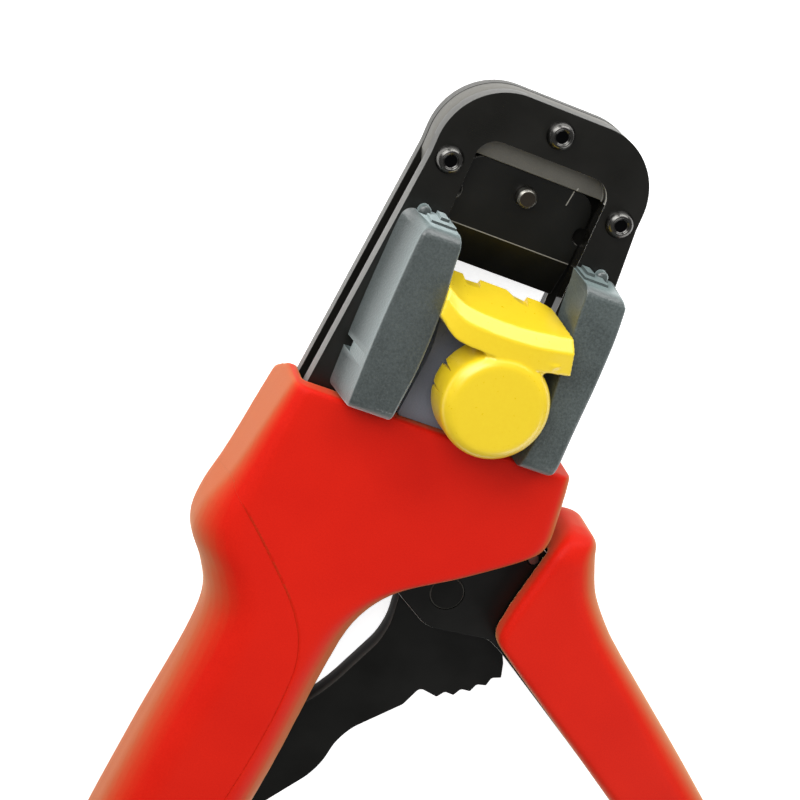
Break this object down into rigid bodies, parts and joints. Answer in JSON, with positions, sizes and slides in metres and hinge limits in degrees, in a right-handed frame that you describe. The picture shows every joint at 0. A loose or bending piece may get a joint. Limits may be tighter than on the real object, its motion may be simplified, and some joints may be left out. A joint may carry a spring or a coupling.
{
  "type": "ratcheting crimp tool",
  "caption": "Hand crimp tool with black steel head plates and dies, a toothed toggle link with a pawl, red moulded handle covers and a clip-on contact locator with a yellow rocking clamp.",
  "frame": {"origin": "centre of the bottom of the tool's box, lying on its back with the handles open", "axes": "+Y from the handles towards the head, +X towards the moving handle, +Z out of the front of the tool"},
  "size_m": [0.1512, 0.2066, 0.034],
  "materials": {
    "black_oxide": "satin black oxide on steel",
    "steel": "bare turned and drawn steel",
    "red_moulding": "fine grained moulding",
    "grey_moulding": "fine grained moulding",
    "yellow_moulding": "smooth moulding"
  },
  "bodies": {
    "frame": {"frame_plate_front": "black_oxide", "frame_plate_rear": "black_oxide", "head_spacer": "black_oxide", "head_rivet_left": "black_oxide", "head_rivet_right": "black_oxide", "head_rivet_top": "black_oxide", "frame_spacer_left": "black_oxide", "frame_spacer_right": "black_oxide", "frame_pin_left": "steel", "frame_pin_right": "steel", "locator_stud_left": "steel", "locator_stud_right": "steel", "link_pin": "steel", "spring_pin_frame": "steel", "upper_die": "black_oxide", "upper_die_pin": "steel", "body_cover": "red_moulding", "fixed_grip": "red_moulding", "locator_base": "grey_moulding", "locator_left_cheek": "grey_moulding", "locator_right_cheek": "grey_moulding", "clamp_pin": "steel"},
    "ram": {"ram": "black_oxide", "lower_die": "black_oxide", "lower_die_screw": "steel"},
    "link": {"link_arm": "black_oxide"},
    "handle": {"lever_plate_front": "black_oxide", "lever_plate_rear": "black_oxide", "ram_pin": "steel", "knee_pin": "black_oxide", "pawl_pin": "steel", "spring_pin_lever": "steel", "lever_spacer_top": "steel", "lever_spacer_end": "steel", "pawl_spring_pin": "steel", "pawl_spring": "steel", "return_spring": "steel", "moving_handle_cover": "red_moulding"},
    "pawl": {"pawl": "steel"},
    "clamp": {"contact_clamp": "yellow_moulding", "clamp_spring": "steel"}
  },
  "joints": [
    {"name": "handle_squeeze", "type": "hinge", "parent": "link", "child": "handle", "pos_m": [-0.02104, 0.0031, 0.01055], "axis": [0, 0, 1], "range_deg": [-57.3, 0], "stiffness_Nm_per_rad": 0.5, "deforming": ["return_spring"]},
    {"name": "link_swing", "type": "hinge", "parent": "frame", "child": "link", "pos_m": [-0.05414, -0.0713, 0.01055], "axis": [0, 0, 1], "range_deg": [0, 13.4]},
    {"name": "ram_slide", "type": "slide", "parent": "frame", "child": "ram", "axis": [0, 1, 0], "range_m": [0, 0.013]},
    {"name": "pawl_flip", "type": "hinge", "parent": "handle", "child": "pawl", "pos_m": [0.01058, -0.00437, 0.01055], "axis": [0, 0, 1], "range_deg": [-16, 16], "stiffness_Nm_per_rad": 0.02, "deforming": ["pawl_spring"]},
    {"name": "clamp_rock", "type": "hinge", "parent": "frame", "child": "clamp", "pos_m": [-0.03394, 0.0552, 0.0216], "axis": [1, 0, 0], "range_deg": [0, 9], "stiffness_Nm_per_rad": 0.3, "deforming": ["clamp_spring"]}
  ],
  "couplings": [
    {"joint": "link_swing", "follows": "handle_squeeze", "ratio": -0.2325},
    {"joint": "ram_slide", "follows": "handle_squeeze", "m_per_rad": -0.01295}
  ]
}
